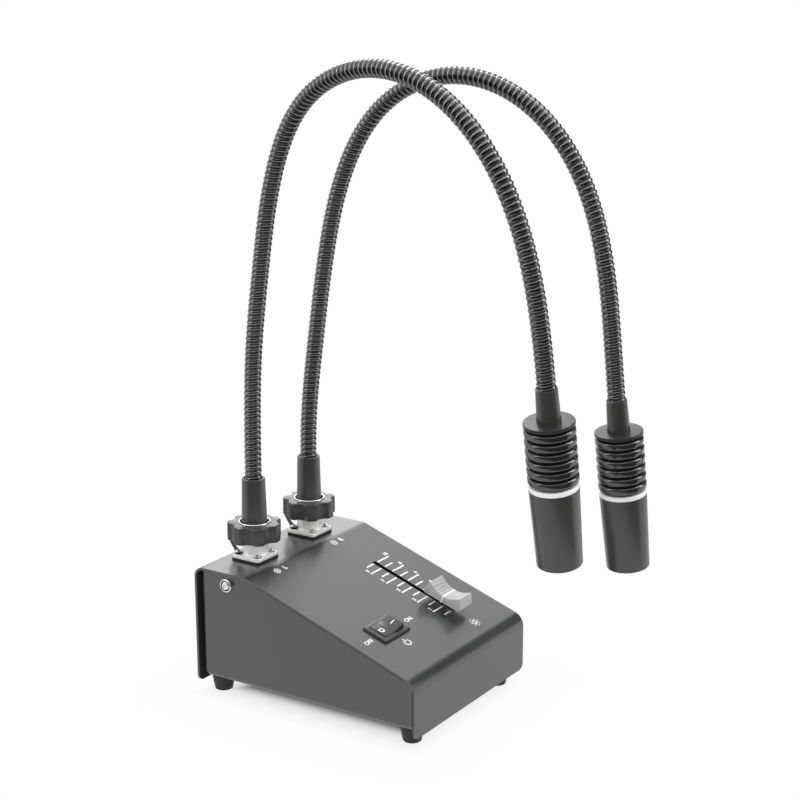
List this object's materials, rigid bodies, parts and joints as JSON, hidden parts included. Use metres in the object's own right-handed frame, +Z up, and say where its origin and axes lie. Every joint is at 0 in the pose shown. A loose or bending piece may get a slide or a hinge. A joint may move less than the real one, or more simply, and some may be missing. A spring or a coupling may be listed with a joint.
{
  "type": "gooseneck illuminator",
  "caption": "Bench light source with a sloped control box, brightness fader and rocker switch, and ribbed goosenecks in screw-coupled sockets, each with a finned LED spot head.",
  "frame": {"origin": "on the bench, under the middle of the control box", "axes": "+Z up, +X to the right of someone facing the sloped panel, -Y towards that person"},
  "size_m": [0.1067, 0.202, 0.311],
  "materials": {
    "enclosure": "satin fine-texture powder coat",
    "foot_rubber": "matt moulded rubber",
    "screw_steel": "zinc plated",
    "fader_cap": "light grey moulded plastic",
    "switch_plastic": "smooth black nylon",
    "contact_brass": "plain brass",
    "circuit_board": "green solder mask",
    "inlet_plastic": "black moulded plastic",
    "socket_nickel": "bright nickel plate",
    "nut_plastic": "dark grey moulded nylon",
    "polished_ring": "polished",
    "dark_anodised": "satin black anodised",
    "black_fins": "glossy black anodised",
    "dark_chrome": "dark chrome flexible steel tube",
    "lens_glass": "clear polished glass",
    "led_board": "white solder mask on aluminium"
  },
  "bodies": {
    "root": {"top_cover": "enclosure", "base_chassis": "enclosure", "rubber_feet": "foot_rubber", "foot_screws": "screw_steel", "cover_screws": "screw_steel", "fader_body": "screw_steel", "switch_housing": "switch_plastic", "switch_terminals": "contact_brass", "control_board": "circuit_board", "board_components": "circuit_board", "board_spacers": "contact_brass", "board_screws": "screw_steel", "dc_jack": "inlet_plastic", "dc_jack_nut": "socket_nickel", "socket_screws": "screw_steel", "socket_contacts": "contact_brass", "left_socket_shell": "socket_nickel", "left_socket_gasket": "foot_rubber", "left_socket_insert": "inlet_plastic", "left_dust_cap": "foot_rubber", "right_socket_shell": "socket_nickel", "right_socket_gasket": "foot_rubber", "right_socket_insert": "inlet_plastic", "right_dust_cap": "foot_rubber"},
    "fader": {"fader_lever": "screw_steel", "fader_knob": "fader_cap"},
    "rocker": {"switch_rocker": "switch_plastic"},
    "left_plug": {"left_plug_shell": "contact_brass", "left_plug_insert": "inlet_plastic", "left_base_sleeve": "dark_anodised"},
    "left_nut": {"left_coupling_nut": "nut_plastic", "left_nut_ring": "polished_ring"},
    "left_neck_1": {"left_gooseneck_1": "dark_chrome"},
    "left_neck_2": {"left_gooseneck_2": "dark_chrome"},
    "left_neck_3": {"left_gooseneck_3": "dark_chrome"},
    "left_neck_4": {"left_gooseneck_4": "dark_chrome"},
    "left_head": {"left_gooseneck_5": "dark_chrome", "left_head_sleeve": "dark_anodised", "left_heatsink": "black_fins", "left_bezel_ring": "polished_ring", "left_head_barrel": "dark_anodised", "left_lens": "lens_glass", "left_led_board": "led_board"},
    "right_plug": {"right_plug_shell": "contact_brass", "right_plug_insert": "inlet_plastic", "right_base_sleeve": "dark_anodised"},
    "right_nut": {"right_coupling_nut": "nut_plastic", "right_nut_ring": "polished_ring"},
    "right_neck_1": {"right_gooseneck_1": "dark_chrome"},
    "right_neck_2": {"right_gooseneck_2": "dark_chrome"},
    "right_neck_3": {"right_gooseneck_3": "dark_chrome"},
    "right_neck_4": {"right_gooseneck_4": "dark_chrome"},
    "right_head": {"right_gooseneck_5": "dark_chrome", "right_head_sleeve": "dark_anodised", "right_heatsink": "black_fins", "right_bezel_ring": "polished_ring", "right_head_barrel": "dark_anodised", "right_lens": "lens_glass", "right_led_board": "led_board"}
  },
  "joints": [
    {"name": "fader_slide", "type": "slide", "parent": "root", "child": "fader", "axis": [0, 0.9474, 0.3201], "range_m": [-0.0048, 0.0432]},
    {"name": "rocker_tilt", "type": "hinge", "parent": "root", "child": "rocker", "pos_m": [-0.02365, -0.03033, 0.04292], "axis": [0, 0.9474, 0.3201], "range_deg": [0, 24]},
    {"name": "left_plug_lift", "type": "slide", "parent": "root", "child": "left_plug", "axis": [0, 0, 1], "range_m": [0, 0.014]},
    {"name": "left_nut_turn", "type": "hinge", "parent": "left_plug", "child": "left_nut", "pos_m": [-0.0243, 0.046, 0.08], "axis": [0, 0, 1], "continuous": true},
    {"name": "left_base_bend", "type": "hinge", "parent": "left_plug", "child": "left_neck_1", "pos_m": [-0.0243, 0.046, 0.1068], "axis": [0.9803, -0.1977, 0], "range_deg": [-25, 20]},
    {"name": "left_lower_side", "type": "hinge", "parent": "left_neck_1", "child": "left_neck_2", "pos_m": [-0.02559, 0.03959, 0.1977], "axis": [-0.1948, -0.966, -0.1699], "range_deg": [-12, 35]},
    {"name": "left_upper_bend", "type": "hinge", "parent": "left_neck_2", "child": "left_neck_3", "pos_m": [-0.03123, 0.01228, 0.28354], "axis": [0.9799, -0.1996, 0.0024], "range_deg": [-35, 12]},
    {"name": "left_upper_side", "type": "hinge", "parent": "left_neck_3", "child": "left_neck_4", "pos_m": [-0.047, -0.06968, 0.29986], "axis": [0.0832, 0.4124, -0.9072], "range_deg": [-12, 35]},
    {"name": "left_head_bend", "type": "hinge", "parent": "left_neck_4", "child": "left_head", "pos_m": [-0.05056, -0.12042, 0.22831], "axis": [0.9779, -0.1753, 0.1136], "range_deg": [-45, 40]},
    {"name": "right_plug_lift", "type": "slide", "parent": "root", "child": "right_plug", "axis": [0, 0, 1], "range_m": [0, 0.014]},
    {"name": "right_nut_turn", "type": "hinge", "parent": "right_plug", "child": "right_nut", "pos_m": [0.0212, 0.046, 0.08], "axis": [0, 0, 1], "continuous": true},
    {"name": "right_base_bend", "type": "hinge", "parent": "right_plug", "child": "right_neck_1", "pos_m": [0.0212, 0.046, 0.1068], "axis": [0.9999, 0.0122, 0], "range_deg": [-25, 20]},
    {"name": "right_lower_side", "type": "hinge", "parent": "right_neck_1", "child": "right_neck_2", "pos_m": [0.02132, 0.03588, 0.19741], "axis": [0.012, -0.9861, -0.1658], "range_deg": [-32, 12]},
    {"name": "right_upper_bend", "type": "hinge", "parent": "right_neck_2", "child": "right_neck_3", "pos_m": [0.02147, 0.00333, 0.28112], "axis": [1, 0.0065, 0.0057], "range_deg": [-35, 10]},
    {"name": "right_upper_side", "type": "hinge", "parent": "right_neck_3", "child": "right_neck_4", "pos_m": [0.02173, -0.08016, 0.28692], "axis": [-0.0071, 0.5848, -0.8111], "range_deg": [-35, 12]},
    {"name": "right_head_bend", "type": "hinge", "parent": "right_neck_4", "child": "right_head", "pos_m": [0.02396, -0.11857, 0.20718], "axis": [0.9983, 0.0186, 0.055], "range_deg": [-45, 40]}
  ]
}
